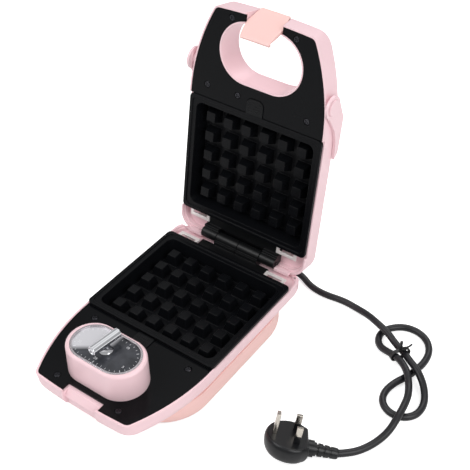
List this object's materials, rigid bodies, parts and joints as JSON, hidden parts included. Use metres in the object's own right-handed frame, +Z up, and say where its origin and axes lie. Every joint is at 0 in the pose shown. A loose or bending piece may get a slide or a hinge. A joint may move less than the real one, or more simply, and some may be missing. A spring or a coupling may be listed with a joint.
{
  "type": "sandwich and waffle maker",
  "caption": "Compact hinged cooker with a waffle plate in base and lid, a timer, a front latch, a carry handle, plate release buttons and a mains cord.",
  "frame": {"origin": "on the surface under the feet, below the middle of the appliance without its cord", "axes": "+Z up, -Y towards the front and the latch, +Y towards the hinge, +X to the right seen from the front"},
  "size_m": [0.2764, 0.267, 0.2533],
  "materials": {
    "shell": "satin moulded",
    "pedestal": "satin moulded",
    "latch": "satin moulded",
    "handle": "satin moulded",
    "panel": "gloss",
    "dark_button": "satin",
    "nonstick": "dark non-stick coating",
    "nickel": "nickel plated",
    "steel": "satin",
    "dark_steel": "black enamel",
    "heater_sheath": "heat-tinted",
    "reflector": "satin sheet",
    "chrome": "polished",
    "dial": "printed plate",
    "block": "plain",
    "rubber": "plain",
    "cord": "smooth sheath",
    "plug": "moulded",
    "tie": "plastic ribbon over wire"
  },
  "bodies": {
    "base": {"base_shell": "shell", "base_deck": "panel", "deck_screws": "steel", "pedestal": "pedestal", "rubber_feet": "rubber", "bottom_screws": "steel", "base_waffle_plate": "nonstick", "base_reflector": "reflector", "base_heater": "heater_sheath", "thermostat": "steel", "thermal_fuse": "steel", "terminal_block": "block", "timer_tower": "shell", "timer_bezel": "chrome", "dial_plate": "dial", "timer_mechanism": "steel", "timer_bell": "steel", "base_plate_clips": "nickel", "base_hinge_bracket": "dark_steel", "hinge_pin": "steel", "cord_bushing": "rubber", "power_cord": "cord", "twist_tie": "tie", "plug_body": "plug", "plug_relief": "plug", "plug_pins": "nickel"},
    "timer": {"timer_knob": "chrome", "timer_shaft": "steel"},
    "base_button": {"base_release_button": "dark_button"},
    "lid": {"lid_shell": "shell", "lid_panel": "panel", "lid_screws": "steel", "lid_waffle_plate": "nonstick", "lid_reflector": "reflector", "lid_heater": "heater_sheath", "lid_plate_clips": "nickel", "lid_hinge_bracket": "dark_steel", "handle_pivots": "steel", "latch_pin": "steel"},
    "latch": {"latch": "latch"},
    "carry_handle": {"carry_handle": "handle", "handle_caps": "handle"},
    "lid_button": {"lid_release_button": "dark_button"}
  },
  "joints": [
    {"name": "lid_hinge", "type": "hinge", "parent": "base", "child": "lid", "pos_m": [0, 0.0783, 0.0443], "axis": [1, 0, 0], "range_deg": [0, 98.7]},
    {"name": "latch_hang", "type": "hinge", "parent": "lid", "child": "latch", "pos_m": [0, 0.12571, 0.24898], "axis": [1, 0, 0], "range_deg": [-26.4, 0]},
    {"name": "handle_pivot", "type": "hinge", "parent": "lid", "child": "carry_handle", "pos_m": [0, 0.10781, 0.19942], "axis": [1, 0, 0], "range_deg": [0, 45]},
    {"name": "timer_turn", "type": "hinge", "parent": "base", "child": "timer", "pos_m": [0, -0.0976, 0.075], "axis": [0, 0, -1], "range_deg": [0, 300]},
    {"name": "base_button_press", "type": "slide", "parent": "base", "child": "base_button", "axis": [0, 0, -1], "range_m": [0, 0.002], "stiffness_N_per_m": 600, "springref_m": -0.001},
    {"name": "lid_button_press", "type": "slide", "parent": "lid", "child": "lid_button", "axis": [0, 0.9885, -0.1513], "range_m": [0, 0.002], "stiffness_N_per_m": 600, "springref_m": -0.001}
  ],
  "couplings": [
    {"joint": "latch_hang", "follows": "lid_hinge", "ratio": -0.26748}
  ]
}
